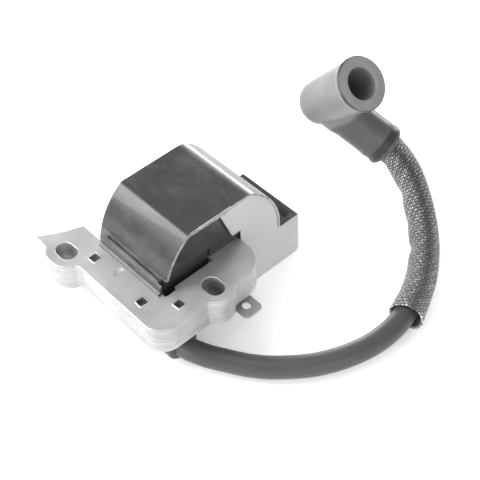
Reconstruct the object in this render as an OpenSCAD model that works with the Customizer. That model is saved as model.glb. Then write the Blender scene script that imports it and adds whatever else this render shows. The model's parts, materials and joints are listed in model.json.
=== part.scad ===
// Ignition coil module for a small two-stroke engine: a U-shaped laminated core,
// a moulded coil case round one leg, a kill tab, and a sleeved high-tension lead
// that ends in an elbow plug boot.
// Working frame: mounting slot A is at x = 0, y = 0, the case stands on z = 0,
// +y points from the yoke to the pole faces and +x from the bare leg to the coil leg.
// place() moves that frame to the middle of the body's footprint.

/* [Core] */
// Thickness of the lamination stack
stack_t = 10; // [8:0.5:10.5]
// Thickness of one sheet
sheet_t = 0.5; // [0.35:0.05:0.65]
// Width of each leg
leg_w = 11.5; // [10.5:0.1:11.6]
// Width of the yoke
yoke_w = 11.8; // [10:0.1:13]
// Radius of the flywheel circle that the pole faces follow
flywheel_r = 46; // [40:1:60]

/* [Mounting slots] */
// Half width of a mounting slot
slot_r = 2.75; // [2.2:0.05:3]
// End-to-end length of a mounting slot
slot_length = 7.5; // [6.5:0.1:8]
// Slot B from slot A along the yoke
slot_pitch_x = 23; // [21:0.5:24]
// Slot B from slot A along the legs
slot_pitch_y = -42; // [-43:0.5:-41]

/* [Case] */
// Height of the flat top above the surface it stands on
case_h = 40.6; // [39:0.2:42]
// Wall thickness of the moulded case
wall = 1.3; // [1:0.1:1.5]
// Height of the electronics trough's rim
trough_h = 17; // [16:0.5:18]
// Depth of the step in the end wall
end_step = 1.4; // [0.8:0.1:1.6]

/* [Kill tab] */
// Width of the blade
tab_w = 7.2; // [6:0.1:7.4]
// Thickness of the blade
tab_t = 0.8; // [0.6:0.1:0.9]
// Radius of the hole in the blade
tab_hole_r = 1.35; // [1:0.05:1.6]

/* [Lead and boot] */
// Diameter of the high-tension lead
lead_d = 7.2; // [6.8:0.1:7.2]
// Outer diameter of the braided sleeve
sleeve_d = 10; // [9.6:0.1:10.2]
// Radius of the boot's plug bore
plug_bore_r = 5.05; // [4.8:0.05:5.3]
// Outer radius of the boot's mouth lip
lip_r = 8.8; // [8:0.1:9]

/* [Hidden] */
$fn = 96;
eps = 0.01;

// Core
core_z = 14;
core_top = core_z + stack_t;
leg1_x = -1.1;
window_w = 19.6;
leg2_x = leg1_x + leg_w + window_w;
core_right = leg2_x + leg_w;
window_y = -34;
yoke_y = window_y - yoke_w;
boss_a_r = 6;
boss_b_r = 5.6;
slot_half = slot_length / 2 - slot_r;
yoke_corner_left = 6.5;
yoke_corner_right = 8.5;
flywheel_x = 24.3;
flywheel_y = 48.9;
tip_x = -3.2;
tip_shoulder = [-3.7, 6.2];
tip_y = flywheel_y - sqrt(pow(flywheel_r, 2) - pow(flywheel_x - tip_x, 2));
pole_blank_y = flywheel_y - flywheel_r + 12;
stake_w = 2.6;
stake_depth = 1.2;
stakes = [[4.6, -8.4], [4, -31.9], [11.4, -40.2]];
dimple_xy = [6.2, -18];
dimple_depth = 0.2;

// Case
case_y0 = -33.9;
case_y1 = -2.6;
case_x = 33.4;
end_wall = 2.3;
far_wall = wall;
shoulder_r = 25;
shoulder_z = 19.9;
shoulder_shift = 2.4;
shoulder_foot_z = 28.1;
right_centre = [33.02, 19.3];
right_foot_z = 20.3;
case_left = 10.9;
case_corner_r = 5;
box_right = 66.2;
box_y1 = -7.5;
box_chamfer = 1.2;
arch_rim_z = 11;
fill_z = 12.4;
step_line = [[34, 38.6], [38.2, core_top + 3.6]];
rail_x = 8.6;

// Coils, wound round the second leg
coil_x = leg2_x + leg_w / 2;
coil_z = core_z + stack_t / 2;
coil_y0 = case_y0 + end_wall;
coil_y1 = case_y1 - far_wall;
end_skin = 0.6;
winding_y0 = coil_y0 + end_skin;
coil_envelope_r = 17.2;
leg_gap = 0.15;
bobbin_r = 9.2;
primary_r = 11;
tape_r = 11.3;
secondary_tube_r = 12.4;
secondary_wire_r = 16.4;
flange_r = 17;
flange_t = 0.9;
charge_len = 7.6;
primary_y1 = coil_y1 - charge_len - 0.4;
chambers = 4;

// Electronics
board = [18.4, 21, 1];
board_at = [46.2, -31, 2];
parts_z = board_at[2] + board[2];

// Kill tab
tab_x = 31.4;
tab_tip_y = -50.8;
tab_z = 11.2;
tab_hole_y = -46.8;
tab_chamfer = 1.3;

// High-tension lead
exit_x = 10.6;
exit_z = 5.6;
boss_r = 5.6;
boss_y1 = -17;
grommet_y0 = -40.8;
lead_r = lead_d / 2;
conductor_r = 1.1;
lead_root_y1 = -24;
terminal_y = -21.5;
sleeve_r = sleeve_d / 2;
sleeve_bore_r = 4.2;
sleeve_start = 13;
lead_sides = 12;

// Boot: local +z leaves the mouth and local +x runs down the cable arm
boot_turn = -86;
boot_tilt = 45;
boot_roll = 24;
elbow = [89.1, -23.05, 44.8];
arm_len = 26;
mouth_len = 19.8;
back_len = 7.6;
arm_r = 6.8;
arm_lip_r = 7.25;
arm_mouth_r = 5.8;
arm_mouth_depth = 8;
swivel_gap = 0.05;
chamber_r = 4.2;
seat_len = 13;
chamber_z = -4;
spring_r = 3.2;
spring_wire_r = 0.5;
spring_turns = 4;
spike_r = 1;
tip_len = 18.5;
arm_dir = [
    cos(boot_turn) * cos(boot_tilt) * cos(boot_roll) - sin(boot_turn) * sin(boot_roll),
    sin(boot_turn) * cos(boot_tilt) * cos(boot_roll) + cos(boot_turn) * sin(boot_roll),
    -sin(boot_tilt) * cos(boot_roll)
];
arm_end = elbow + arm_dir * arm_len;

// Route of the free lead, from the grommet to the boot
route = [
    [exit_x, grommet_y0, exit_z],
    [exit_x, -42.3, exit_z],
    [11.6, -44.8, 5.2],
    [13.6, -48.4, 4.4],
    [16.6, -53, 3.9],
    [20, -58.4, 3.7],
    [24, -63.5, 3.7],
    [28.7, -68, 3.7],
    [33.8, -72, 3.7],
    [39.5, -75.3, 3.8],
    [45.7, -77.9, 4],
    [52.4, -79.7, 4.3],
    [59.7, -80.3, 4.8],
    [67.4, -79.2, 5.1],
    [75.3, -76.4, 5.2],
    [82.9, -72.4, 5.5],
    [89.8, -67.5, 6.5],
    [95.3, -62.1, 8.7],
    [99.3, -56.7, 12],
    [101.9, -51.3, 16],
    [103, -46.9, 20],
    [102.7, -43, 23.9],
    arm_end + arm_dir * 1.6,
    arm_end
];

// Middle of the footprint, which becomes the origin
mid_x = (box_right - boss_a_r) / 2;
mid_y = (tip_y + tab_tip_y) / 2;

module place() {
    translate([-mid_x, -mid_y, 0]) children();
}

// Runs a flat shape drawn in x and z along y, from y0 to y1
module along_y(y0, y1) {
    translate([0, y1, 0]) rotate([90, 0, 0]) linear_extrude(y1 - y0) children();
}

module rod_y(x, z, r, y0, y1) {
    along_y(y0, y1) translate([x, z]) circle(r);
}

module boot_frame() {
    translate(elbow) rotate([0, 0, boot_turn]) rotate([0, boot_tilt, 0]) rotate([0, 0, boot_roll])
        children();
}

// A rod along the cable arm, from a to b measured from the elbow
module arm_rod(r, a, b) {
    translate([a, 0, 0]) rotate([0, 90, 0]) cylinder(r = r, h = b - a);
}

// Tangents, side vectors and rings of a swept tube
function unit(v) = v / norm(v);
function heading(p, i) = unit(p[min(i + 1, len(p) - 1)] - p[max(i - 1, 0)]);
function side_of(t) = unit(cross(t, abs(t[2]) > 0.9 ? [1, 0, 0] : [0, 0, 1]));
function ring_points(c, t, r, n) = [
    for (k = [0:n - 1])
        let (s = side_of(t), u = cross(s, t), a = 360 * k / n)
        c + r * (cos(a) * s + sin(a) * u)
];
function sweep_points(p, r, n) = [
    for (i = [0:len(p) - 1]) each ring_points(p[i], heading(p, i), r, n)
];
function wall_faces(rings, n, start, flip) = [
    for (i = [0:rings - 2], k = [0:n - 1])
        let (
            a = start + i * n + k,
            b = start + i * n + (k + 1) % n
        )
        each flip
            ? [[a, b + n, b], [a, a + n, b + n]]
            : [[a, b, b + n], [a, b + n, a + n]]
];

module tube_solid(p, r, n) {
    m = len(p);
    caps = [[for (k = [n - 1:-1:0]) k], [for (k = [0:n - 1]) (m - 1) * n + k]];
    polyhedron(sweep_points(p, r, n), concat(wall_faces(m, n, 0, false), caps), convexity = 6);
}

module tube_shell(p, outer, inner, n) {
    m = len(p);
    last = (m - 1) * n;
    start_cap = [for (k = [0:n - 1]) [(k + 1) % n, k, m * n + k, m * n + (k + 1) % n]];
    end_cap = [
        for (k = [0:n - 1])
            [last + k, last + (k + 1) % n, m * n + last + (k + 1) % n, m * n + last + k]
    ];
    polyhedron(
        concat(sweep_points(p, outer, n), sweep_points(p, inner, n)),
        concat(wall_faces(m, n, 0, false), wall_faces(m, n, m * n, true), start_cap, end_cap),
        convexity = 8
    );
}

// Fills the corner between a round boss and a straight edge
module concave_fillet(boss, centre, foot, r) {
    difference() {
        polygon([boss, centre, foot]);
        translate(centre) circle(r);
    }
}

module slot_shape() {
    for (s = [-1, 1]) translate([0, s * slot_half]) circle(slot_r);
    translate([-slot_r, -slot_half]) square([2 * slot_r, 2 * slot_half]);
}

module boss_shape(r) {
    for (s = [-1, 1]) translate([0, s * slot_half]) circle(r);
    translate([-r, -slot_half]) square([2 * r, 2 * slot_half]);
}

// The first quadrant of a disc, with a little overlap on its straight sides
module quarter_disc(r) {
    intersection() {
        circle(r);
        translate([-0.2, -0.2]) square(r + 1);
    }
}

module core_blank() {
    translate([leg1_x, yoke_y + yoke_corner_left])
        square([leg_w, pole_blank_y - yoke_y - yoke_corner_left]);
    translate([leg2_x, yoke_y + yoke_corner_right])
        square([leg_w, pole_blank_y - yoke_y - yoke_corner_right]);
    translate([leg1_x + yoke_corner_left, yoke_y])
        square([core_right - leg1_x - yoke_corner_left - yoke_corner_right, yoke_w]);
    translate([leg1_x + yoke_corner_left, yoke_y + yoke_corner_left])
        rotate([0, 0, 180]) quarter_disc(yoke_corner_left);
    translate([core_right - yoke_corner_right, yoke_y + yoke_corner_right])
        rotate([0, 0, -90]) quarter_disc(yoke_corner_right);
    boss_shape(boss_a_r);
    translate([slot_pitch_x, slot_pitch_y]) boss_shape(boss_b_r);
    polygon([
        [tip_x, pole_blank_y], [tip_x, tip_y - 0.3], tip_shoulder, [tip_shoulder[0], 5],
        [1, 5], [1, pole_blank_y]
    ]);
    boss_fillets();
}

module boss_fillets() {
    r = 2.5;
    overlap = 0.05;
    a_centre = [0, -slot_half];
    a_rise = sqrt(pow(boss_a_r + r - overlap, 2) - pow(leg1_x - r, 2));
    concave_fillet(a_centre, a_centre + [leg1_x - r, -a_rise], a_centre + [leg1_x, -a_rise], r);
    b_centre = [slot_pitch_x, slot_pitch_y - slot_half];
    drop = b_centre[1] - yoke_y + r;
    reach = sqrt(pow(boss_b_r + r - overlap, 2) - pow(drop, 2));
    for (side = [0, 1])
        translate(b_centre) mirror([side, 0, 0])
            concave_fillet([0, 0], [reach, -drop], [reach, -drop + r], r);
}

module core_shape() {
    difference() {
        core_blank();
        translate([flywheel_x, flywheel_y]) circle(flywheel_r, $fn = 240);
        slot_shape();
        translate([slot_pitch_x, slot_pitch_y]) slot_shape();
        translate([leg1_x + leg_w - eps, window_y - 1.2]) square([4.2, 1.3]);
    }
}

// Square stakes punched into the outer sheets
module stake_pits(z, way) {
    for (p = stakes)
        translate([p[0], p[1], z]) rotate([way > 0 ? 180 : 0, 0, 0])
            rotate([0, 0, 45])
                cylinder(r1 = stake_w / sqrt(2), r2 = stake_w / sqrt(2) / 3, h = stake_depth, $fn = 4);
}

module core_stack() {
    color("lightgray") place() difference() {
        translate([0, 0, core_z + sheet_t]) linear_extrude(stack_t - 2 * sheet_t) core_shape();
        stake_pits(core_top, 1);
        stake_pits(core_z, -1);
    }
}

module core_top_sheet() {
    color("silver") place() difference() {
        translate([0, 0, core_top - sheet_t]) linear_extrude(sheet_t) core_shape();
        stake_pits(core_top, 1);
        translate([dimple_xy[0], dimple_xy[1], core_top - dimple_depth]) cylinder(r = 1.6, h = 1);
    }
}

module core_bottom_sheet() {
    color("silver") place() difference() {
        translate([0, 0, core_z]) linear_extrude(sheet_t) core_shape();
        stake_pits(core_z, -1);
    }
}

// Rounded shoulders; the left side leans out below its shoulder, the right one
// runs down into a plumb wall. i insets every edge
module arch_shape(i) {
    r = shoulder_r - i;
    left_foot = case_x + shoulder_shift - sqrt(pow(shoulder_r, 2) - pow(shoulder_foot_z - shoulder_z, 2));
    right_x = right_centre[0] + sqrt(pow(r, 2) - pow(right_foot_z - right_centre[1], 2));
    intersection() {
        translate([case_x + shoulder_shift, shoulder_z]) circle(r, $fn = 180);
        translate(right_centre) circle(r, $fn = 180);
        translate([case_x - 30, shoulder_foot_z - eps]) square([60, case_h - i - shoulder_foot_z + eps]);
    }
    intersection() {
        translate(right_centre) circle(r, $fn = 180);
        translate([case_x, right_foot_z]) square([30, shoulder_foot_z - right_foot_z]);
    }
    polygon([
        [left_foot + i, shoulder_foot_z],
        [case_left + i, core_top],
        [case_left + i, case_corner_r + i],
        [case_left + case_corner_r + i, i],
        [right_x, i],
        [right_x, right_foot_z],
        [case_x + 1, right_foot_z],
        [case_x + 1, shoulder_foot_z]
    ]);
}

module box_shape() {
    polygon([
        [46, 0], [box_right - box_chamfer, 0], [box_right, box_chamfer],
        [box_right, trough_h], [46, trough_h]
    ]);
}

module box_hollow() {
    difference() {
        translate([44, wall]) square([box_right - wall - 44, trough_h]);
        intersection() {
            arch_shape(0);
            translate([0, arch_rim_z]) square([90, 60]);
        }
    }
}

// The part of the end wall left of the slanted step
module step_shape() {
    intersection() {
        arch_shape(1);
        polygon([
            [0, core_top], [core_right + leg_gap, core_top], [core_right + leg_gap, step_line[1][1]],
            step_line[1], step_line[0], [step_line[0][0], case_h], [0, case_h]
        ]);
    }
}

// Stepped rail that rests on the bare leg
module rail_shape() {
    polygon([
        [rail_x, core_top], [rail_x, core_top + 0.8], [rail_x + 0.8, core_top + 1.2],
        [rail_x + 1.2, core_top + 3.1], [rail_x + 2.3, core_top + 3.4],
        [rail_x + 2.7, core_top + 2.2], [rail_x + 3.6, core_top + 2.2],
        [rail_x + 4.4, core_top + 3.2], [rail_x + 4.4, core_top]
    ]);
}

module core_passage(y0, y1, left, gap) {
    along_y(y0, y1) translate([left, core_z - gap])
        square([core_right + leg_gap - left, stack_t + 2 * gap]);
}

module tab_blank(gap) {
    translate([tab_x - tab_w / 2 - gap, tab_tip_y, tab_z - gap])
        cube([tab_w + 2 * gap, coil_y0 - 0.1 - tab_tip_y, tab_t + 2 * gap]);
}

module case_shell() {
    color([0.13, 0.13, 0.14]) place() difference() {
        union() {
            along_y(case_y0, case_y1) arch_shape(0);
            along_y(case_y0, box_y1) box_shape();
            along_y(case_y0, -5.5) rail_shape();
            rod_y(exit_x, exit_z, boss_r, -38.6, boss_y1);
        }
        along_y(coil_y0, coil_y1) arch_shape(wall);
        along_y(coil_y0, box_y1 - wall) box_hollow();
        along_y(case_y0 - 1, case_y0 + end_step) step_shape();
        core_passage(case_y0 - 1, coil_y0 + eps, leg1_x + leg_w, 0);
        along_y(case_y0 - 1, coil_y0 + eps) translate([leg1_x + leg_w, core_top - eps])
            square([leg2_x - leg1_x - leg_w, 3.6]);
        core_passage(coil_y1 - eps, case_y1 + 1, leg2_x - leg_gap, leg_gap);
        translate([leg1_x - 9, case_y0 - 1, core_z - leg_gap])
            cube([leg_w + 9 + leg_gap, 40, stack_t + leg_gap]);
        rod_y(exit_x, exit_z, lead_r, -40, lead_root_y1 + 6);
        rod_y(exit_x, exit_z, boss_r - 1.4, -40, -36);
        translate([exit_x, terminal_y, exit_z - 1.5]) cube([5, 3, 3]);
        tab_blank(0);
    }
}

module potting() {
    color([0.09, 0.08, 0.08]) place() difference() {
        union() {
            along_y(coil_y0, coil_y1) arch_shape(wall);
            along_y(coil_y0, box_y1 - wall) intersection() {
                box_hollow();
                square([90, fill_z]);
            }
        }
        rod_y(coil_x, coil_z, coil_envelope_r, winding_y0, coil_y1 + 1);
        core_passage(coil_y0 - 1, winding_y0 + 1, leg2_x - leg_gap, leg_gap);
        translate([board_at[0] - 0.4, board_at[1] - 0.3, wall - 1])
            cube([board[0] + 0.7, board[1] + 0.6, fill_z - wall]);
        rod_y(exit_x, exit_z, boss_r + 0.1, coil_y0 - 1, boss_y1 + 0.1);
        translate([exit_x, terminal_y, exit_z - 1.5]) cube([16, 3, 3]);
    }
}

// A round body on the coil leg with the leg's own rectangular hole
module leg_ring(r, y0, y1) {
    difference() {
        rod_y(coil_x, coil_z, r, y0, y1);
        along_y(y0 - 1, y1 + 1) translate([leg2_x - leg_gap, core_z - leg_gap])
            square([leg_w + 2 * leg_gap, stack_t + 2 * leg_gap]);
    }
}

module ring_y(outer, inner, y0, y1) {
    difference() {
        rod_y(coil_x, coil_z, outer, y0, y1);
        rod_y(coil_x, coil_z, inner, y0 - 1, y1 + 1);
    }
}

module primary_bobbin() {
    color([0.18, 0.18, 0.2]) place() {
        leg_ring(bobbin_r, winding_y0, primary_y1);
        ring_y(primary_r, bobbin_r - eps, winding_y0, winding_y0 + flange_t);
        ring_y(primary_r, bobbin_r - eps, primary_y1 - flange_t, primary_y1);
    }
}

module primary_winding() {
    color([0.72, 0.36, 0.16]) place()
        ring_y(primary_r - 0.2, bobbin_r, winding_y0 + flange_t, primary_y1 - flange_t);
}

module primary_tape() {
    color([0.85, 0.78, 0.5]) place() ring_y(tape_r, primary_r, winding_y0, primary_y1);
}

module secondary_bobbin() {
    color([0.22, 0.22, 0.24]) place() {
        ring_y(secondary_tube_r, tape_r, winding_y0, primary_y1);
        for (k = [0:chambers]) {
            y = winding_y0 + k * (primary_y1 - winding_y0 - flange_t) / chambers;
            ring_y(flange_r, secondary_tube_r - eps, y, y + flange_t);
        }
    }
}

module secondary_winding() {
    pitch = (primary_y1 - winding_y0 - flange_t) / chambers;
    color([0.8, 0.42, 0.2]) place() for (k = [0:chambers - 1])
        ring_y(
            secondary_wire_r, secondary_tube_r,
            winding_y0 + k * pitch + flange_t, winding_y0 + (k + 1) * pitch
        );
}

module charge_bobbin() {
    color([0.18, 0.18, 0.2]) place() {
        leg_ring(bobbin_r, primary_y1 + 0.4, coil_y1);
        ring_y(flange_r, bobbin_r - eps, primary_y1 + 0.4, primary_y1 + 0.4 + flange_t);
        ring_y(flange_r, bobbin_r - eps, coil_y1 - flange_t, coil_y1);
    }
}

module charge_winding() {
    color([0.72, 0.36, 0.16]) place()
        ring_y(secondary_wire_r, bobbin_r, primary_y1 + 0.4 + flange_t, coil_y1 - flange_t);
}

module circuit_board() {
    color([0.1, 0.35, 0.2]) place() translate(board_at) cube(board);
}

module capacitor() {
    color([0.75, 0.25, 0.12]) place() translate([57.2, -29, parts_z]) {
        difference() {
            cube([6.4, 13, 7.6]);
            for (x = [0, 6.4], y = [0, 13])
                translate([x, y, -1]) rotate([0, 0, 45]) cube([1, 1, 20], center = true);
        }
    }
}

module thyristor() {
    color([0.08, 0.08, 0.09]) place() translate([60.6, -12.6, parts_z]) difference() {
        cylinder(r = 2.3, h = 4.8);
        translate([-3, 1.3, -1]) cube([6, 3, 8]);
    }
}

module axial_part(at, r, length) {
    translate(at) rotate([-90, 0, 0]) cylinder(r = r, h = length);
}

module diodes() {
    color([0.1, 0.1, 0.11]) place() for (x = [50.4, 54.2])
        axial_part([x, -28.6, parts_z + 1.35], 1.35, 5.2);
}

module resistors() {
    color([0.78, 0.66, 0.45]) place() for (x = [50.4, 54.2])
        axial_part([x, -19.4, parts_z + 1.15], 1.15, 6.3);
}

module kill_tab() {
    color([0.55, 0.55, 0.57]) place() difference() {
        tab_blank(0);
        translate([tab_x, tab_hole_y, tab_z - 1]) cylinder(r = tab_hole_r, h = 3);
        for (s = [-1, 1])
            translate([tab_x + s * tab_w / 2, tab_tip_y, tab_z])
                rotate([0, 0, 45]) cube([tab_chamfer * sqrt(2), tab_chamfer * sqrt(2), 4], center = true);
    }
}

module ht_terminal() {
    color([0.8, 0.65, 0.3]) place() difference() {
        translate([exit_x - 1.5, terminal_y, exit_z - 1.5]) cube([15, 3, 3]);
        rod_y(exit_x, exit_z, conductor_r, -23, -20);
    }
}

module lead_grommet() {
    color([0.1, 0.1, 0.1]) place() difference() {
        union() {
            rod_y(exit_x, exit_z, boss_r - 1.4, -38.6, -36);
            rod_y(exit_x, exit_z, boss_r, grommet_y0, -38.6);
        }
        rod_y(exit_x, exit_z, lead_r, grommet_y0 - 1, -35);
    }
}

module lead_root() {
    color([0.15, 0.15, 0.16]) place() difference() {
        rod_y(exit_x, exit_z, lead_r, grommet_y0, lead_root_y1);
        rod_y(exit_x, exit_z, conductor_r, grommet_y0 + 4, lead_root_y1 + 1);
    }
}

module lead_conductor() {
    color([0.8, 0.5, 0.3]) place() rod_y(exit_x, exit_z, conductor_r, grommet_y0 + 4, -20);
}

module ht_lead() {
    color([0.15, 0.15, 0.16]) place() tube_solid(route, lead_r, lead_sides);
}

module lead_tip() {
    color([0.15, 0.15, 0.16]) place() boot_frame() difference() {
        arm_rod(lead_r, arm_len - tip_len, arm_len);
        arm_rod(spike_r + swivel_gap, arm_len - tip_len - 1, arm_len - tip_len + 7);
    }
}

module braided_sleeve() {
    stretch = [for (i = [sleeve_start:len(route) - 1]) route[i]];
    color([0.45, 0.45, 0.46]) place()
        tube_shell(concat(stretch, [arm_end - arm_dir * 6]), sleeve_r, sleeve_bore_r, lead_sides);
}

module plug_boot() {
    color([0.2, 0.2, 0.21]) place() boot_frame() difference() {
        union() {
            rotate_extrude() polygon([
                [0, -back_len], [4.6, -back_len], [6.6, -back_len + 1], [7.2, -back_len + 2.8],
                [8.3, mouth_len - 1.6], [lip_r, mouth_len - 1.2], [lip_r, mouth_len - 0.4],
                [lip_r - 0.4, mouth_len], [0, mouth_len]
            ]);
            arm_rod(arm_r, 0, arm_len - 0.5);
            arm_rod(arm_lip_r, arm_len - 5.2, arm_len - 4.2);
            arm_rod(arm_lip_r, arm_len - 1.4, arm_len);
        }
        translate([0, 0, mouth_len - seat_len]) cylinder(r = plug_bore_r, h = seat_len + 1);
        translate([0, 0, chamber_z]) cylinder(r = chamber_r, h = mouth_len);
        arm_rod(lead_r + swivel_gap, arm_len - tip_len - 0.2, arm_len + 1);
        arm_rod(arm_mouth_r, arm_len - arm_mouth_depth, arm_len + 1);
        arm_rod(spike_r, 0, arm_len - tip_len);
    }
}

module plug_spring() {
    steps = spring_turns * 12;
    coil = [
        for (i = [0:steps])
            [
                spring_r * cos(30 * i), spring_r * sin(30 * i),
                chamber_z + spring_wire_r + 0.1 + i * 9 / steps
            ]
    ];
    color([0.75, 0.75, 0.78]) place() boot_frame() tube_solid(coil, spring_wire_r, 8);
}

module terminal_spike() {
    color([0.78, 0.64, 0.3]) place() boot_frame()
        arm_rod(spike_r, spring_r + spring_wire_r + 0.15, arm_len - tip_len + 6.5);
}

core_stack();
core_top_sheet();
core_bottom_sheet();
case_shell();
potting();
primary_bobbin();
primary_winding();
primary_tape();
secondary_bobbin();
secondary_winding();
charge_bobbin();
charge_winding();
circuit_board();
capacitor();
thyristor();
diodes();
resistors();
kill_tab();
ht_terminal();
lead_grommet();
lead_root();
lead_conductor();
ht_lead();
lead_tip();
braided_sleeve();
plug_boot();
plug_spring();
terminal_spike();
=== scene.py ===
import json
import math
import random

import bmesh
import bpy
import numpy as np
from mathutils import Matrix, Vector, noise
from mathutils.geometry import tessellate_polygon


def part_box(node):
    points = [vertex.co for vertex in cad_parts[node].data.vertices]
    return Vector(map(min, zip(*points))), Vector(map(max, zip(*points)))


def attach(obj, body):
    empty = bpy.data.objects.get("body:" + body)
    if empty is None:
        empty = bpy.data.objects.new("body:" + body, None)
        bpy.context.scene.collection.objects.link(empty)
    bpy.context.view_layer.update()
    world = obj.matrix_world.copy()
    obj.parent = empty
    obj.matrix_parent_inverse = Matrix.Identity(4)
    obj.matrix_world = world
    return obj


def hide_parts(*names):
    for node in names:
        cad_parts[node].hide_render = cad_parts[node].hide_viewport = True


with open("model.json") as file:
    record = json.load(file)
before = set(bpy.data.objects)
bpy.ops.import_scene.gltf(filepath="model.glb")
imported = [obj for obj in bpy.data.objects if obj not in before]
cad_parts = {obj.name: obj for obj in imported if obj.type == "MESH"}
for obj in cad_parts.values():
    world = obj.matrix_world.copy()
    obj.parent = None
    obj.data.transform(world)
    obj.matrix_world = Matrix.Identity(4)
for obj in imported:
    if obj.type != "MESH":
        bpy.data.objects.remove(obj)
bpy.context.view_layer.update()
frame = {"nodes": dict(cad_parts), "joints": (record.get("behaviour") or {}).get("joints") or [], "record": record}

BASE = "coil_and_lead"
BOOT = "boot"
MM = 0.001
RNG = random.Random(7)

# ---------------------------------------------------------------- the working frame
# x and y are counted from mounting slot A and z from the floor, in millimetres.
MOUNTS = {m["name"]: m for m in frame["record"]["mounts"]}
SLOT_A = Vector(MOUNTS["slot_a"]["pos_m"])
CORE_Z0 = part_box("core_bottom_sheet")[0].z / MM
CORE_Z1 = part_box("core_top_sheet")[1].z / MM


def at(x, y, z):
    return Vector((SLOT_A.x + x * MM, SLOT_A.y + y * MM, z * MM))


def in_mm(point):
    """The inverse of at()."""
    return (point.x - SLOT_A.x) / MM, (point.y - SLOT_A.y) / MM, point.z / MM


def placed(name, data):
    """A new object in the scene."""
    obj = bpy.data.objects.new(name, data)
    bpy.context.scene.collection.objects.link(obj)
    return obj


# ---------------------------------------------------------------- camera
CAMERA_AT = (-102.39, -205.3, 267.12)
CAMERA_RIGHT = Vector((0.738, -0.6736, -0.0394))
CAMERA_FORWARD = Vector((0.4344, 0.519, -0.7362))
LENS_MM, SENSOR_MM = 80.78, 36
CLIP_NEAR, CLIP_FAR = 0.01, 20


def add_camera():
    data = bpy.data.cameras.new("camera")
    data.lens = LENS_MM
    data.sensor_width = SENSOR_MM
    data.clip_start = CLIP_NEAR
    data.clip_end = CLIP_FAR
    cam = placed("camera", data)
    back = -CAMERA_FORWARD.normalized()
    right = CAMERA_RIGHT.normalized()
    up = back.cross(right).normalized()
    right = up.cross(back).normalized()
    turn = Matrix((right, up, back)).transposed().to_4x4()
    cam.matrix_world = Matrix.Translation(at(*CAMERA_AT)) @ turn
    bpy.context.scene.camera = cam


add_camera()


# ---------------------------------------------------------------- node materials
class Mat:
    """A small builder for node materials around one Principled shader."""

    def __init__(self, name):
        self.m = bpy.data.materials.new(name)
        self.m.use_nodes = True
        self.t = self.m.node_tree
        self.t.nodes.clear()
        out = self.t.nodes.new("ShaderNodeOutputMaterial")
        self.p = self.t.nodes.new("ShaderNodeBsdfPrincipled")
        self.t.links.new(self.p.outputs[0], out.inputs[0])
        self.coord = self.t.nodes.new("ShaderNodeTexCoord")
        self.m.diffuse_color = (0.5, 0.5, 0.5, 1)

    def link(self, a, b):
        self.t.links.new(a, b)

    def feed(self, sock, val):
        """Links a node's output to a socket, or sets the socket to a number or a colour."""
        if hasattr(val, "is_linked"):
            self.link(val, sock)
        elif isinstance(val, tuple) and len(val) == 3:
            sock.default_value = (*val, 1)
        else:
            sock.default_value = val

    def node(self, kind, **values):
        """A new node; each value's name is an input's, with _ for a space."""
        n = self.t.nodes.new(kind)
        for key, val in values.items():
            n.inputs[key.replace("_", " ")].default_value = val
        return n

    def mapping(self, scale=(1, 1, 1), rot=(0, 0, 0)):
        n = self.node("ShaderNodeMapping", Scale=scale, Rotation=rot)
        self.link(self.coord.outputs["Object"], n.inputs["Vector"])
        return n.outputs[0]

    def noise(self, scale, detail=4.0, rough=0.55, vec=None, distortion=0.0):
        n = self.node(
            "ShaderNodeTexNoise", Scale=scale, Detail=detail, Roughness=rough,
            Distortion=distortion,
        )
        self.link(vec or self.coord.outputs["Object"], n.inputs["Vector"])
        return n.outputs["Fac"]

    def ramp(self, fac, stops):
        n = self.node("ShaderNodeValToRGB")
        for element, (pos, col) in zip(n.color_ramp.elements, stops):
            element.position = pos
            element.color = (*col, 1)
        self.link(fac, n.inputs["Fac"])
        return n.outputs["Color"]

    def mix(self, fac, a, b, kind="MIX"):
        n = self.node("ShaderNodeMix")
        n.data_type = "RGBA"
        n.blend_type = kind
        for sock, val in ((n.inputs[0], fac), (n.inputs[6], a), (n.inputs[7], b)):
            self.feed(sock, val)
        return n.outputs[2]

    def map_range(self, fac, lo, hi, frm=(0.0, 1.0)):
        n = self.node(
            "ShaderNodeMapRange", From_Min=frm[0], From_Max=frm[1], To_Min=lo, To_Max=hi
        )
        self.link(fac, n.inputs["Value"])
        return n.outputs[0]

    def bump(self, height, strength, distance, normal=None):
        n = self.node("ShaderNodeBump", Strength=strength, Distance=distance)
        self.link(height, n.inputs["Height"])
        if normal is not None:
            self.link(normal, n.inputs["Normal"])
        return n.outputs[0]

    def attribute(self, name):
        n = self.node("ShaderNodeAttribute")
        n.attribute_name = name
        return n.outputs["Color"]

    def set(self, **values):
        """Feeds the shader's sockets, and gives the finished material."""
        for key, val in values.items():
            self.feed(self.p.inputs[key.replace("_", " ")], val)
        return self.m


MATS = {}


def metal(name, dark, light, rough, grain=900.0, metallic=0.9, stretch=(1, 1, 1), wear=0.35):
    """Metal with a patchy tone, a grain that stretch can draw out, and fine scratches."""
    m = Mat(name)
    big = m.noise(120.0, 3, 0.5)
    fine = m.noise(grain, 5, 0.6, m.mapping(stretch))
    scratch = m.noise(420.0, 3, 0.7, m.mapping((1, 18, 1), (0, 0, 0.6)))
    tone = m.ramp(m.mix(wear, big, fine), [(0.3, dark), (0.7, light)])
    rough_out = m.map_range(m.mix(0.5, big, scratch), rough - 0.09, rough + 0.12, (0.3, 0.7))
    first = m.bump(fine, 0.14, 0.00003)
    normal = m.bump(scratch, 0.1, 0.00003, first)
    MATS[name] = m.set(Base_Color=tone, Metallic=metallic, Roughness=rough_out, Normal=normal)


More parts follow.
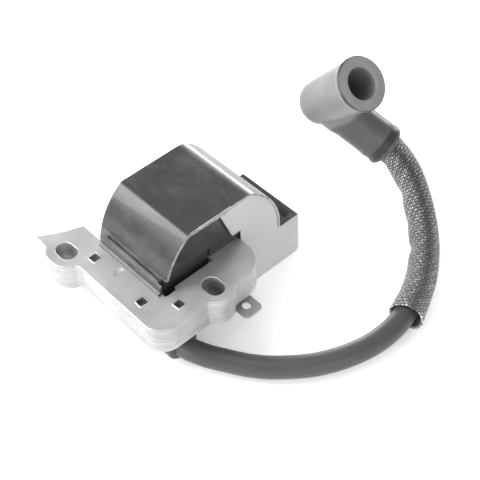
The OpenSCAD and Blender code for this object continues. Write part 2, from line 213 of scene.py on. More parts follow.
def stained(m, tone, amount):
    """Adds the pale clouds and specks that a mould leaves on dark plastic."""
    cloud = m.noise(210.0, 4, 0.7, m.mapping((1, 0.55, 1)), 0.5)
    speck = m.noise(1500.0, 1, 0.4)
    tone = m.mix(m.map_range(cloud, 0.0, amount, (0.5, 0.78)), tone, (0.2, 0.2, 0.204))
    return m.mix(m.map_range(speck, 0.0, 0.9, (0.8, 0.85)), tone, (0.4, 0.4, 0.404))


def plastic(
    name, dark, light, rough, grain=2600.0, bump=0.12, coat=0.0, sheen=0.0, specular=0.5, stain=0.0
):
    """Moulded plastic or rubber with a patchy tone and gloss, a fine grain and faint ripples."""
    m = Mat(name)
    big = m.noise(70.0, 4, 0.6)
    fine = m.noise(grain, 4, 0.6)
    smear = m.noise(160.0, 3, 0.5, m.mapping((1, 0.4, 1)), 0.2)
    tone = m.ramp(m.mix(0.45, big, fine), [(0.32, dark), (0.68, light)])
    if stain:
        tone = stained(m, tone, stain)
    rough_out = m.map_range(big, rough - 0.03, rough + 0.09, (0.3, 0.7))
    normal = m.bump(smear, 0.05, 0.0001, m.bump(fine, bump, 0.00004))
    MATS[name] = m.set(
        Base_Color=tone, Roughness=rough_out, Normal=normal, Coat_Weight=coat,
        Sheen_Weight=sheen, Specular_IOR_Level=specular,
    )


metal("core_top", (0.46, 0.46, 0.465), (0.57, 0.57, 0.575), 0.42, metallic=0.72)
metal("core_side", (0.4, 0.4, 0.404), (0.6, 0.6, 0.605), 0.42, 700.0, 0.6, (1, 1, 7))
metal("core_slot", (0.2, 0.2, 0.202), (0.6, 0.6, 0.605), 0.45, 500.0, 0.6, (1, 1, 9))
# Near-black painted shade for the depths of the stakes' pits.
metal("core_pit_painted_shade", (0.02, 0.02, 0.021), (0.14, 0.14, 0.142), 0.5, 900.0, 0.4)
plastic(
    "case", (0.021, 0.022, 0.023), (0.035, 0.036, 0.038), 0.32, 1300.0, coat=0.15, specular=0.6,
    stain=0.2,
)
# Pale painted reflection for the flat of the case's near end face: the same black plastic, toned up as if it
# caught the lamps.
plastic("case_painted_reflection", (0.46, 0.46, 0.467), (0.56, 0.56, 0.567), 0.45)
# Pale, mottled painted highlight for the case's near rim and the mould flash along it.
plastic("case_painted_edge_highlight", (0.1, 0.1, 0.102), (0.6, 0.6, 0.61), 0.4, 700.0)
# Painted highlight for the rail's upward faces.
plastic("case_rail_painted_highlight", (0.05, 0.05, 0.051), (0.2, 0.2, 0.204), 0.35, 900.0, 0.4)
# Painted light for the trough's inner walls, paler than the plastic outside.
plastic("case_trough_painted_light", (0.16, 0.16, 0.163), (0.26, 0.26, 0.264), 0.5, 900.0)
plastic("resin", (0.05, 0.047, 0.044), (0.075, 0.07, 0.066), 0.36, 900.0)
plastic("bobbin", (0.05, 0.05, 0.055), (0.07, 0.07, 0.075), 0.45)
plastic("tape", (0.55, 0.4, 0.12), (0.68, 0.52, 0.18), 0.3)
plastic("board", (0.03, 0.14, 0.07), (0.05, 0.2, 0.1), 0.35)
plastic("capacitor", (0.4, 0.06, 0.02), (0.5, 0.1, 0.03), 0.25)
plastic("component", (0.02, 0.02, 0.022), (0.035, 0.035, 0.04), 0.3)
plastic("resistor", (0.5, 0.36, 0.2), (0.6, 0.45, 0.27), 0.3)
metal("copper", (0.5, 0.2, 0.08), (0.7, 0.32, 0.14), 0.3, 1500.0, stretch=(1, 20, 1))
metal("tab", (0.4, 0.4, 0.405), (0.54, 0.54, 0.545), 0.42, metallic=0.8)
metal("spring", (0.5, 0.5, 0.52), (0.68, 0.68, 0.7), 0.25)
metal("brass", (0.6, 0.42, 0.14), (0.75, 0.56, 0.22), 0.3)
plastic("lead", (0.04, 0.04, 0.042), (0.066, 0.066, 0.069), 0.42, 1800.0, 0.1, sheen=0.15)


def sleeve_material():
    m = Mat("sleeve")
    yarn = m.attribute("yarn")
    fibre = m.noise(5200.0, 3, 0.7)
    tone = m.mix(0.3, yarn, m.ramp(fibre, [(0.3, (0.0, 0.0, 0.0)), (0.7, (1, 1, 1))]), "OVERLAY")
    normal = m.bump(fibre, 0.35, 0.00006)
    return m.set(Base_Color=tone, Roughness=0.62, Normal=normal, Sheen_Weight=0.6)


def boot_material():
    """Moulded rubber; the attribute tone darkens the bores and, as painted shade, the cable arm."""
    m = Mat("boot")
    tone = m.attribute("tone")
    big = m.noise(90.0, 4, 0.6)
    fine = m.noise(2000.0, 4, 0.6)
    dark, light = (0.18, 0.18, 0.188), (0.255, 0.255, 0.266)
    base = m.ramp(m.mix(0.45, big, fine), [(0.32, dark), (0.68, light)])
    smear = m.noise(150.0, 3, 0.5, m.mapping((1, 0.4, 1)), 0.2)
    normal = m.bump(smear, 0.06, 0.0001, m.bump(fine, 0.1, 0.00004))
    rough = m.map_range(big, 0.3, 0.41, (0.3, 0.7))
    return m.set(
        Base_Color=m.mix(1.0, base, tone, "MULTIPLY"), Roughness=rough, Normal=normal,
        Specular_IOR_Level=0.3,
    )


MATS["sleeve"] = sleeve_material()
MATS["boot"] = boot_material()
NODE_MATERIALS = {
    "resin": ["potting"],
    "bobbin": ["primary_bobbin", "secondary_bobbin", "charge_bobbin"],
    "copper": ["primary_winding", "secondary_winding", "charge_winding", "lead_conductor"],
    "tape": ["primary_tape"],
    "board": ["circuit_board"],
    "capacitor": ["capacitor"],
    "component": ["thyristor", "diodes"],
    "resistor": ["resistors"],
    "brass": ["ht_terminal", "terminal_spike"],
    "lead": ["lead_root", "lead_tip"],
    "spring": ["plug_spring"],
}


# ---------------------------------------------------------------- mesh helpers
def piece(
    name, verts, faces, mats, body, replaces=(), sharp=35.0, face_mats=None, flat=False
):
    """A new mesh piece. sharp is in degrees; flat evens the shading of its flat faces."""
    mesh = bpy.data.meshes.new(name)
    mesh.from_pydata([tuple(v) for v in verts], [], faces)
    mesh.validate()
    obj = placed(name, mesh)
    for m in mats:
        mesh.materials.append(MATS[m])
    if face_mats is not None:
        mesh.polygons.foreach_set("material_index", face_mats)
    if flat:
        face_outward(mesh, weld=True)
    finish_piece(obj, body, replaces, sharp, flat)
    return obj


def finish_piece(obj, body, replaces=(), sharp=35.0, flat=False):
    """Shades a piece, gives it its body and hides the CAD nodes it replaces."""
    mesh = obj.data
    mesh.polygons.foreach_set("use_smooth", [True] * len(mesh.polygons))
    mesh.set_sharp_from_angle(angle=math.radians(sharp))
    mesh.update()
    if flat:
        weigh = obj.modifiers.new("weigh", "WEIGHTED_NORMAL")
        weigh.keep_sharp = True
        weigh.weight = 100
        apply_modifiers(obj)
    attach(obj, body)
    if replaces:
        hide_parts(*replaces)


def face_outward(mesh, weld=False):
    """Turns the faces outward, after welding doubled points if asked to."""
    bm = bmesh.new()
    bm.from_mesh(mesh)
    if weld:
        bmesh.ops.remove_doubles(bm, verts=bm.verts, dist=1e-7)
    bmesh.ops.recalc_face_normals(bm, faces=bm.faces)
    bm.to_mesh(mesh)
    bm.free()


def arc(cx, cy, r, a0, a1, n):
    """n + 1 points on a circle from angle a0 to a1, in degrees."""
    return [
        (cx + r * math.cos(math.radians(a0 + (a1 - a0) * i / n)),
         cy + r * math.sin(math.radians(a0 + (a1 - a0) * i / n)))
        for i in range(n + 1)
    ]


def tidy_loop(loop, gap=0.02):
    """Drops points that are closer than gap to the one before."""
    out = []
    for p in loop:
        if not out or math.dist(p, out[-1]) > gap:
            out.append(p)
    if math.dist(out[0], out[-1]) <= gap:
        out.pop()
    return out


def area(loop):
    """The signed area: positive when the loop runs anticlockwise."""
    return 0.5 * sum(
        loop[i - 1][0] * loop[i][1] - loop[i][0] * loop[i - 1][1] for i in range(len(loop))
    )


def facing(loop, hole=False):
    """Puts the material on the loop's left."""
    return loop[::-1] if (area(loop) < 0) != hole else loop


def inset(loop, d):
    """Moves a loop into its material by d, with a limit on how far a sharp corner moves."""
    n = len(loop)
    sharpest = 0.45
    out = []
    for i in range(n):
        ax, ay = loop[i - 1]
        bx, by = loop[i]
        cx, cy = loop[(i + 1) % n]
        u = Vector((bx - ax, by - ay)).normalized()
        v = Vector((cx - bx, cy - by)).normalized()
        nu, nv = Vector((-u.y, u.x)), Vector((-v.y, v.x))
        m = nu + nv
        if m.length < 1e-6:
            m = nu.copy()
        m = m.normalized()
        k = d / max(sharpest, m.dot(nu))
        out.append((bx + m.x * k, by + m.y * k))
    return out


def framed(rings):
    """Adds a flat ring just inside each end, so that the caps shade flat."""
    width = 0.05
    (z0, d0, s0), (z1, d1, s1) = rings[0], rings[-1]
    return [(z0, d0 + width, s0)] + rings + [(z1, d1 + width, s1)]


def stacked(loops, rings, cap_loops_top=(), cap_loops_bottom=()):
    """Walls through rings of (z, inset, shift), with filled caps at both ends."""
    verts, faces = [], []
    sizes = [len(loop) for loop in loops]
    per = sum(sizes)
    for z, d, sh in rings:
        for loop in loops:
            for x, y in inset(loop, d) if d else loop:
                verts.append(at(x + sh[0], y + sh[1], z))
    for r in range(len(rings) - 1):
        start = r * per
        for size in sizes:
            for i in range(size):
                j = (i + 1) % size
                faces.append((start + i, start + j, start + per + j, start + per + i))
            start += size
    for ring, extra, up in ((0, cap_loops_bottom, False), (len(rings) - 1, cap_loops_top, True)):
        z = rings[ring][0]
        starts = [ring * per + sum(sizes[:k]) for k in range(len(sizes))]
        edge = [list(range(start, start + size)) for start, size in zip(starts, sizes)]
        for loop in extra:
            first = len(verts)
            verts.extend(at(x, y, z) for x, y in loop)
            edge.append(list(range(first, first + len(loop))))
        flat = [i for e in edge for i in e]
        polys = [[(verts[i].x, verts[i].y, 0.0) for i in e] for e in edge]
        for t in tessellate_polygon(polys):
            a, b, c = (flat[k] for k in t)
            turn = (verts[b] - verts[a]).cross(verts[c] - verts[a]).z
            faces.append((a, b, c) if (turn > 0) == up else (a, c, b))
    return verts, faces


def paint(obj, name, colours):
    """Stores one colour per point, for the materials to read."""
    layer = obj.data.color_attributes.new(name, "FLOAT_COLOR", "POINT")
    layer.data.foreach_set("color", np.array(colours, np.float32).ravel())


def drawn(profile, y0, y1):
    """A closed x-z profile run along y, as a new mesh object."""
    mesh = bpy.data.meshes.new("part")
    n = len(profile)
    verts = [at(x, y0, z) for x, z in profile] + [at(x, y1, z) for x, z in profile]
    faces = [tuple(range(n)), tuple(range(2 * n - 1, n - 1, -1))]
    faces += [(i, n + i, n + (i + 1) % n, (i + 1) % n) for i in range(n)]
    mesh.from_pydata([tuple(v) for v in verts], [], faces)
    return closed(mesh)


def closed(mesh):
    """A new object from a closed mesh, with its faces turned outward."""
    face_outward(mesh)
    return placed(mesh.name, mesh)


def block(x0, x1, y0, y1, z0, z1):
    return drawn([(x0, z0), (x1, z0), (x1, z1), (x0, z1)], y0, y1)


def rod(x, z, r, y0, y1, n=64):
    return drawn(arc(x, z, r, 0, 360 * (n - 1) / n, n - 1), y0, y1)


def combine(obj, others, op):
    """Joins or cuts obj with each of the others, which are used up."""
    for other in others:
        mod = obj.modifiers.new("b", "BOOLEAN")
        mod.operation = op
        mod.solver = "EXACT"
        mod.object = other
        apply_modifiers(obj)
        bpy.data.objects.remove(other)


def apply_modifiers(obj):
    """Bakes the modifiers into a fresh mesh."""
    bpy.context.view_layer.update()
    graph = bpy.context.evaluated_depsgraph_get()
    fresh = bpy.data.meshes.new_from_object(obj.evaluated_get(graph))
    obj.modifiers.clear()
    old = obj.data
    obj.data = fresh
    bpy.data.meshes.remove(old)


def merge_flat(obj, angle=0.5):
    """Joins faces that lie in one plane, so that the bevel meets whole edges."""
    bm = bmesh.new()
    bm.from_mesh(obj.data)
    bmesh.ops.remove_doubles(bm, verts=bm.verts, dist=1e-6)
    bmesh.ops.dissolve_limit(
        bm, angle_limit=math.radians(angle), verts=bm.verts, edges=bm.edges
    )
    bm.to_mesh(obj.data)
    bm.free()


# ---------------------------------------------------------------- high-tension lead
ARM_END = Vector(frame["joints"][0]["pos_m"])
ARM_DIR = Vector(frame["joints"][0]["axis"]).normalized()
# The route from the collar to the boot's arm, chosen as in the CAD part.
ROUTE_MM = [
    (10.6, -40.8, 5.6), (10.6, -42.3, 5.6), (11.6, -44.8, 5.2), (13.6, -48.4, 4.4), (16.6, -53, 3.9),
    (20, -58.4, 3.7), (24, -63.5, 3.7), (28.7, -68, 3.7), (33.8, -72, 3.7),
    (39.5, -75.3, 3.8), (45.7, -77.9, 4), (52.4, -79.7, 4.3), (59.7, -80.3, 4.8),
    (67.4, -79.2, 5.1), (75.3, -76.4, 5.2), (82.9, -72.4, 5.5), (89.8, -67.5, 6.5),
    (95.3, -62.1, 8.7), (99.3, -56.7, 12), (101.9, -51.3, 16), (103, -46.9, 20),
    (102.7, -43, 23.9),
]
ROUTE = [at(*p) for p in ROUTE_MM] + [ARM_END + ARM_DIR * 1.6 * MM, ARM_END.copy()]
LEAD_R_MM = 3.6
LEAD_R = LEAD_R_MM * MM
LEAD_SIDES, LEAD_STEP = 48, 0.7 * MM


def smooth_line(points, step):
    """A centripetal Catmull-Rom line through the points, resampled at even steps."""
    parts = 24
    p = [points[0] * 2 - points[1]] + list(points) + [points[-1] * 2 - points[-2]]
    fine = []
    for i in range(1, len(p) - 2):
        p0, p1, p2, p3 = p[i - 1], p[i], p[i + 1], p[i + 2]
        t0 = 0.0
        t1 = t0 + (p1 - p0).length ** 0.5
        t2 = t1 + (p2 - p1).length ** 0.5
        t3 = t2 + (p3 - p2).length ** 0.5
        for k in range(parts):
            t = t1 + (t2 - t1) * k / parts
            a1 = p0 * ((t1 - t) / (t1 - t0)) + p1 * ((t - t0) / (t1 - t0))
            a2 = p1 * ((t2 - t) / (t2 - t1)) + p2 * ((t - t1) / (t2 - t1))
            a3 = p2 * ((t3 - t) / (t3 - t2)) + p3 * ((t - t2) / (t3 - t2))
            b1 = a1 * ((t2 - t) / (t2 - t0)) + a2 * ((t - t0) / (t2 - t0))
            b2 = a2 * ((t3 - t) / (t3 - t1)) + a3 * ((t - t1) / (t3 - t1))
            fine.append(b1 * ((t2 - t) / (t2 - t1)) + b2 * ((t - t1) / (t2 - t1)))
    fine.append(points[-1].copy())
    run = [0.0]
    for a, b in zip(fine, fine[1:]):
        run.append(run[-1] + (b - a).length)
    count = max(2, round(run[-1] / step))
    out, k = [], 0
    for i in range(count + 1):
        want = run[-1] * i / count
        while k < len(run) - 2 and run[k + 1] < want:
            k += 1
        f = (want - run[k]) / max(1e-12, run[k + 1] - run[k])
        out.append(fine[k].lerp(fine[k + 1], min(1.0, f)))
    return out, run[-1]


def carried_frames(line):
    """Tangent, side and up at each point, carried along with no twist."""
    frames = []
    side = None
    for i in range(len(line)):
        t = (line[min(i + 1, len(line) - 1)] - line[max(i - 1, 0)]).normalized()
        if side is None:
            side = t.cross(Vector((0, 0, 1))).normalized()
        side = (side - t * side.dot(t)).normalized()
        frames.append((t, side, side.cross(t).normalized()))
    return frames


def tube(line, sides, radius, ends=True):
    """radius(angle, s) in metres; s runs along the line."""
    frames = carried_frames(line)
    verts, faces = [], []
    s = 0.0
    for i, (p, (_, side, up)) in enumerate(zip(line, frames)):
        if i:
            s += (p - line[i - 1]).length
        for k in range(sides):
            a = 2 * math.pi * k / sides
            verts.append(p + (side * math.cos(a) + up * math.sin(a)) * radius(a, s))
    for i in range(len(line) - 1):
        for k in range(sides):
            j = (k + 1) % sides
            a, b = i * sides, (i + 1) * sides
            faces.append((a + k, a + j, b + j, b + k))
    if ends:
        faces.append(tuple(range(sides - 1, -1, -1)))
        faces.append(tuple(range((len(line) - 1) * sides, len(line) * sides)))
    return verts, faces


def add_lead():
    line, length = smooth_line(ROUTE, LEAD_STEP)

    def radius(a, s):
        flow = noise.noise(Vector((math.cos(a) * 1.2, math.sin(a) * 1.2, s * 60)))
        return LEAD_R * (1 + 0.006 * flow)

    verts, faces = tube(line, LEAD_SIDES, radius)
    obj = piece("high_tension_lead", verts, faces, ["lead"], BASE, ["ht_lead"])
    return obj, line, length


lead, LEAD_LINE, LEAD_LENGTH = add_lead()


# ---------------------------------------------------------------- braided sleeve
# The sleeve's mouth is at one of the route's points, and its far end is inside the boot's arm.
SLEEVE_FIRST, SLEEVE_IN_ARM = 13, 5.6 * MM
SLEEVE_R, LINING_R_MM = 4.95 * MM, 4.15
SLEEVE_SIDES, SLEEVE_STEP, LINING_STRIDE = 360, 0.13 * MM, 6
SLEEVE_FLOOR = 0.12 * MM
RAGGED_RINGS = 14
YARNS = 60
BRAID_R_MM, BRAID_DEGREES = 5.0, 43
LAY = 2 * math.pi * BRAID_R_MM * MM / math.tan(math.radians(BRAID_DEGREES))
# The yarns' colours, and the order in which the yarns of each set follow each other.
YARN_COLOURS = {
    "W": (0.6, 0.6, 0.6), "P": (0.24, 0.24, 0.245), "D": (0.09, 0.09, 0.092),
    "B": (0.03, 0.03, 0.032),
}
PATTERN_A, PATTERN_B = "WBPBWDWBPB", "BPDPBDPBPD"
LINING_COLOUR = (0.04, 0.04, 0.042, 1.0)
# Each kink: where, as a fraction of the sleeve, how deep in millimetres, and its angle.
KINKS = [(0.67, 0.9, 2.9), (0.38, 0.8, 3.2), (0.52, 0.35, 2.6), (0.85, 0.35, 3.0)]
KINK_REACH = 0.035
# The dark stripe along the sleeve: its angle, width and depth.
STRIPE_AT, STRIPE_WIDTH, STRIPE_DEPTH = 1.1, 0.36, 0.8


def braid(a, s):
    """Height, kind and edge shade of the yarn that is on top at angle a and distance s."""
    u = a * YARNS / (2 * math.pi)
    v = s / LAY * YARNS
    p, q = u + v, u - v
    ip, iq = math.floor(p), math.floor(q)
    fp, fq = p - ip - 0.5, q - iq - 0.5
    if (ip + iq) // 2 % 2 == 0:
        across, along, yarn = fp, fq, PATTERN_A[ip % len(PATTERN_A)]
    else:
        across, along, yarn = fq, fp, PATTERN_B[iq % len(PATTERN_B)]
    edge = math.sqrt(max(0.0, 1 - (across * 2) ** 2))
    h = 0.5 * edge + 0.5 * math.cos(along * math.pi)
    own = 0.4 + 1.9 * abs(noise.noise(Vector((ip * 0.77, iq * 0.83, 1.5))))
    return h, yarn, edge * own


def yarn_colour(yarn, edge, a, s, f):
    """Painted shade darkens the yarn's edges, where they dip; darker in the stripe, and paler towards the frayed
    mouth.
    """
    shade = 0.25 + 0.75 * edge
    grain = 1 + 0.3 * noise.noise(Vector((a * 2, s * 220, 3)))
    wander = 0.12 * noise.noise(Vector((s * 120, 4, 4)))
    off_stripe = (a - STRIPE_AT - 0.5 * min(f, 0.6) - wander) / STRIPE_WIDTH
    stripe = 1 - STRIPE_DEPTH * math.exp(-off_stripe ** 2)
    frayed = (1 + 2.2 * max(0.0, 1 - s / (0.5 * MM))) * (1 + 0.5 * f ** 3)
    base = YARN_COLOURS[yarn]
    return tuple(max(0.0, x * shade * grain * stripe * frayed) for x in base) + (1.0,)


def pinch(a, f):
    """How far a kink presses the fabric in, in millimetres, at angle a and fraction f."""
    pressed = 0.0
    for where, deep, side in KINKS:
        d = (f - where) / KINK_REACH
        pressed += deep * math.exp(-d * d) * max(0.0, math.cos(a - side)) ** 2
    return pressed


def open_side(a):
    """The share of the mouth's gape at angle a: all of it on one side, none on the other."""
    return max(0.0, 0.25 + 0.75 * math.cos(a))


def add_sleeve():
    """A braid of flat yarns: two sets of helices that pass over and under each other."""
    pts = ROUTE[SLEEVE_FIRST:] + [ARM_END - ARM_DIR * SLEEVE_IN_ARM]
    line, length = smooth_line(pts, SLEEVE_STEP)
    sides = SLEEVE_SIDES
    colours = []

    def radius(a, s):
        h, yarn, edge = braid(a, s)
        f = s / length
        colours.append(yarn_colour(yarn, edge, a, s, f))
        wave = 0.18 * noise.noise(Vector((math.cos(a) * 0.9, math.sin(a) * 0.9, s * 90)))
        flare = 1.5 * math.exp(-s / (8 * MM)) * open_side(a)
        free = SLEEVE_R + (-0.3 + 0.26 * h - pinch(a, f) + wave + flare) * MM
        return max(free, LEAD_R + (0.28 + 0.1 * h) * MM)

    verts, faces = tube(line, sides, radius, ends=False)
    frames = carried_frames(line)
    # The cut edge is ragged, and the fabric lies on the surface below it.
    for i, v in enumerate(verts):
        ring, k = divmod(i, sides)
        if ring < RAGGED_RINGS:
            coarse = noise.noise(Vector((k * 0.1, 7, 1)))
            fine = noise.noise(Vector((k * 0.7, 2, 5)))
            fade = 1 - ring / RAGGED_RINGS
            v += frames[ring][0] * ((0.5 * coarse + 0.5 * fine) * MM * fade - 0.5 * MM * fade)
        if v.z < SLEEVE_FLOOR:
            v.z = SLEEVE_FLOOR
    # The lining is a plain tube inside the fabric, joined to it at both ends.
    outer = len(verts)
    picks = list(range(0, len(line), LINING_STRIDE))
    if picks[-1] != len(line) - 1:
        picks.append(len(line) - 1)
    rows = len(picks)
    for row, pick in enumerate(picks):
        p, (_, side, up) = line[pick], frames[pick]
        f = row / (rows - 1)
        near_mouth = max(0.0, 1 - (p - line[0]).length / (9 * MM))
        for k in range(sides):
            a = 2 * math.pi * k / sides
            r = LINING_R_MM + 1.3 * near_mouth * open_side(a) - 0.5 * pinch(a, f)
            v = p + (side * math.cos(a) + up * math.sin(a)) * (r * MM)
            v.z = max(v.z, SLEEVE_FLOOR + 0.5 * MM)
            verts.append(v)
            colours.append(LINING_COLOUR)
    for row in range(rows - 1):
        for k in range(sides):
            j = (k + 1) % sides
            a, b = outer + row * sides, outer + (row + 1) * sides
            faces.append((a + k, b + k, b + j, a + j))
    last, last_inner = outer - sides, outer + (rows - 1) * sides
    for k in range(sides):
        j = (k + 1) % sides
        faces.append((k, outer + k, outer + j, j))
        faces.append((last + k, last + j, last_inner + j, last_inner + k))
    obj = piece(
        "sleeve_braid", verts, faces, ["sleeve"], BASE, ["braided_sleeve"], 60
    )
    paint(obj, "yarn", colours)
    return obj


sleeve = add_sleeve()


# ---------------------------------------------------------------- laminated core
# In x: the two legs. In y: the yoke. Then the slots' bosses and the flywheel's x, y and radius.
SLOT_B = (23.0, -42.0)
LEG_1 = (-1.1, 10.4)
LEG_2 = (30.0, 41.5)
YOKE = (-45.8, -34.0)
BOSS_A, BOSS_B = 6.0, 5.6
FLYWHEEL = (24.3, 48.9, 46.0)
SLOT_R, SLOT_HALF = 2.75, 1.0
SHEETS, GROOVE = 20, 0.26
# Each stake: its place and its turn in degrees.
STAKES = [(4.6, -8.4, 3), (4.0, -31.9, -4), (11.4, -40.2, 2)]
STAKE_HALF, STAKE_SOFT = 1.95, 0.6
DIMPLE, DIMPLE_HALVES = (6.2, -18.0), (2.0, 1.35)
CORE_MATS = ["core_side", "core_top", "core_slot", "core_pit_painted_shade"]
SIDE, TOP, SLOT, PIT_SHADE = range(4)
# Rings of a stake's pit and of the dimple: (scale, depth, material). The pit's deepest rings take painted shade.
PUNCH = [
    (0.97, 0, TOP), (0.9, -0.05, TOP), (0.8, -0.16, SIDE), (0.74, -0.17, SIDE),
    (0.68, -0.05, SIDE), (0.52, 0.5, PIT_SHADE), (0.32, 1.15, PIT_SHADE), (0.26, 1.2, PIT_SHADE),
]
BOWL = [
    (0.97, 0, TOP), (0.85, 0.06, SIDE), (0.65, 0.17, SIDE), (0.4, 0.24, SIDE), (0.15, 0.26, SIDE),
]


def flywheel_points(x0, x1, n):
    """The pole face's curve, at the flywheel's radius."""
    cx, cy, r = FLYWHEEL
    xs = [x0 + (x1 - x0) * i / n for i in range(n + 1)]
    return [(x, cy - math.sqrt(r * r - (x - cx) ** 2)) for x in xs]


def core_outline():
    """Anticlockwise from the pole face by slot A; fillets join the slots' bosses to the edge."""
    fillet = 2.5
    waist = (-3.6, -8.66)
    ta = math.degrees(math.atan2(-1 - waist[1], -waist[0]))
    apart, drop, dip_y = BOSS_B + 2.45, 5.3, -48.3
    reach = math.sqrt(apart ** 2 - drop ** 2)
    tb = math.degrees(math.atan2(drop, reach))
    start = math.degrees(math.atan2(4.723, -3.7))
    pts = [(-3.2, 12.03), (-3.45, 9.1), (-3.7, 6.2)]
    pts += arc(0, 1, BOSS_A, start, 180, 14)
    pts += arc(0, -1, BOSS_A, 180, 180 + ta, 20)
    pts += arc(*waist, fillet, ta, 0, 12)
    pts += [(LEG_1[0], y) for y in (-15, -22, -30, -37)]
    pts += arc(5.4, -39.3, 6.5, 180, 270, 28)
    pts += [(11, YOKE[0])]
    pts += arc(SLOT_B[0] - reach, dip_y, fillet, 90, tb, 12)
    pts += arc(SLOT_B[0], -43, BOSS_B, 180 + tb, 360 - tb, 36)
    pts += arc(SLOT_B[0] + reach, dip_y, fillet, 180 - tb, 90, 12)
    pts += arc(33, -37.3, 8.5, 270, 360, 32)
    pts += [(LEG_2[1], y) for y in (-28, -14, 0)]
    pts += flywheel_points(LEG_2[1], LEG_2[0], 16)
    pts += [(LEG_2[0], y) for y in (-6, -20)]
    pts += arc(29.5, -33.5, 0.5, 0, -90, 4)
    pts += [(20, YOKE[1]), (14.6, YOKE[1]), (14.6, -35.2), (10.39, -35.2)]
    pts += [(LEG_1[1], y) for y in (-28, -12, -2)]
    pts += flywheel_points(LEG_1[1], -3.2, 22)
    return facing(tidy_loop(pts))


def slot_loop(cx, cy):
    upper = arc(cx, cy + SLOT_HALF, SLOT_R, 0, 180, 24)
    lower = arc(cx, cy - SLOT_HALF, SLOT_R, 180, 360, 24)
    return facing(tidy_loop(upper + lower), True)


def stake_loop(cx, cy, degrees):
    """A square with soft corners."""
    c = STAKE_HALF - STAKE_SOFT
    pts = []
    for k, (x, y) in enumerate(((c, c), (-c, c), (-c, -c), (c, -c))):
        pts += arc(x, y, STAKE_SOFT, 90 * k, 90 * k + 90, 4)
    turn = math.radians(degrees)
    c, s = math.cos(turn), math.sin(turn)
    return facing([(cx + x * c - y * s, cy + x * s + y * c) for x, y in pts], True)


def sheet_rings():
    """Rings of (z, inset, shift) up the stack, with a groove between each two sheets."""
    pitch = (CORE_Z1 - CORE_Z0) / SHEETS
    still = (0, 0)
    rings = [(CORE_Z0, 0.16, still), (CORE_Z0 + 0.06, 0.04, still)]
    for k in range(SHEETS):
        z = CORE_Z0 + k * pitch
        shift = (RNG.uniform(-0.05, 0.05), RNG.uniform(-0.05, 0.05))
        own = 0.04 + RNG.uniform(0, 0.06)
        if k:
            rings.append((z + 0.03, GROOVE, shift))
            rings.append((z + 0.07, own, shift))
        else:
            rings.append((z + 0.12, own, shift))
        if k < SHEETS - 1:
            rings.append((z + pitch * 0.66, own, shift))
            rings.append((z + pitch - 0.06, own + 0.04, shift))
            rings.append((z + pitch - 0.02, GROOVE, shift))
    rings += [
        (CORE_Z1 - 0.3, 0.03, still), (CORE_Z1 - 0.16, 0.06, still),
        (CORE_Z1 - 0.06, 0.14, still), (CORE_Z1 - 0.004, 0.3, still),
    ]
    return framed(rings)


def add_core():
    outer = core_outline()
    loops = [outer, slot_loop(0, 0), slot_loop(*SLOT_B)]
    rings = sheet_rings()
    marks = [stake_loop(*stake) for stake in STAKES]
    (cx, cy), (half_x, half_y) = DIMPLE, DIMPLE_HALVES
    dimple = facing([(cx + half_x * x, cy + half_y * y) for x, y in arc(0, 0, 1, 0, 345, 23)], True)
    verts, faces = stacked(loops, rings, marks + [dimple], marks)
    per = sum(len(loop) for loop in loops)
    upper_bands = 5
    kinds = []
    for band in range(len(rings) - 1):
        on_skin = band == 0 or band >= len(rings) - upper_bands
        kinds += [TOP if on_skin else SIDE] * len(outer)
        kinds += [TOP if on_skin else SLOT] * (per - len(outer))
    kinds += [TOP] * (len(faces) - len(kinds))

    def pit(loop, z, up, levels):
        """Fills a hole in a cap with rings that shrink towards the centre."""
        cx = sum(p[0] for p in loop) / len(loop)
        cy = sum(p[1] for p in loop) / len(loop)
        n = len(loop)
        want = at(*loop[0], z)
        first = next(i for i in range(len(rings) * per, len(verts))
                     if (verts[i] - want).length < 1e-7)
        previous = list(range(first, first + n))
        for scale, depth, kind in levels:
            ring = list(range(len(verts), len(verts) + n))
            for x, y in loop:
                wob = 0.02 * noise.noise(Vector((x * 3, y * 3, depth * 5))) if depth else 0.0
                px, py = cx + (x - cx) * scale, cy + (y - cy) * scale
                verts.append(at(px, py, z - up * (depth + wob)))
            for i in range(n):
                j = (i + 1) % n
                quad = (previous[i], previous[j], ring[j], ring[i])
                faces.append(quad if up > 0 else quad[::-1])
                kinds.append(kind)
            previous = ring
        faces.append(tuple(previous) if up > 0 else tuple(previous[::-1]))
        kinds.append(kind)

    top_z, low_z = rings[-1][0], rings[0][0]
    for loop in marks:
        pit(loop, top_z, 1, PUNCH)
        pit(loop, low_z, -1, PUNCH)
    pit(dimple, top_z, 1, BOWL)
    piece(
        "core_laminations", verts, faces, CORE_MATS, BASE,
        ["core_stack", "core_top_sheet", "core_bottom_sheet"], 40, kinds, True,
    )


add_core()


# ---------------------------------------------------------------- moulded case
# The housing: its ends, its shoulders' radius, centres and feet, its heel and its walls.
CASE_Y = (-33.9, -2.6)
CASE_X = 33.4
TOP_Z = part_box("case_shell")[1].z / MM
SHOULDER_R, SHOULDER_Z, SHIFT, FOOT_Z = 25.0, 19.9, 2.4, 28.1
RIGHT_X, RIGHT_Z, RIGHT_FOOT = 33.02, 19.3, 20.3
EASE_RIGHT, EASE_LEFT = 2.4, 0.8
LEFT_X, RAIL_Z, HEEL_R = 10.9, 24.0, 5
WALL, END_WALL = 1.3, 2.3
# The box beside the housing, with the open trough and the resin's level in it.
BOX_LEFT, BOX_FOOT, BOX_RIGHT, BOX_CHAMFER = 46, 65.0, 66.2, 1.2
BOX_Y1, TROUGH_X, TROUGH_Z, TROUGH_FLOOR, POT_Z = -7.5, 57.99, 17.0, 11.0, 12.4
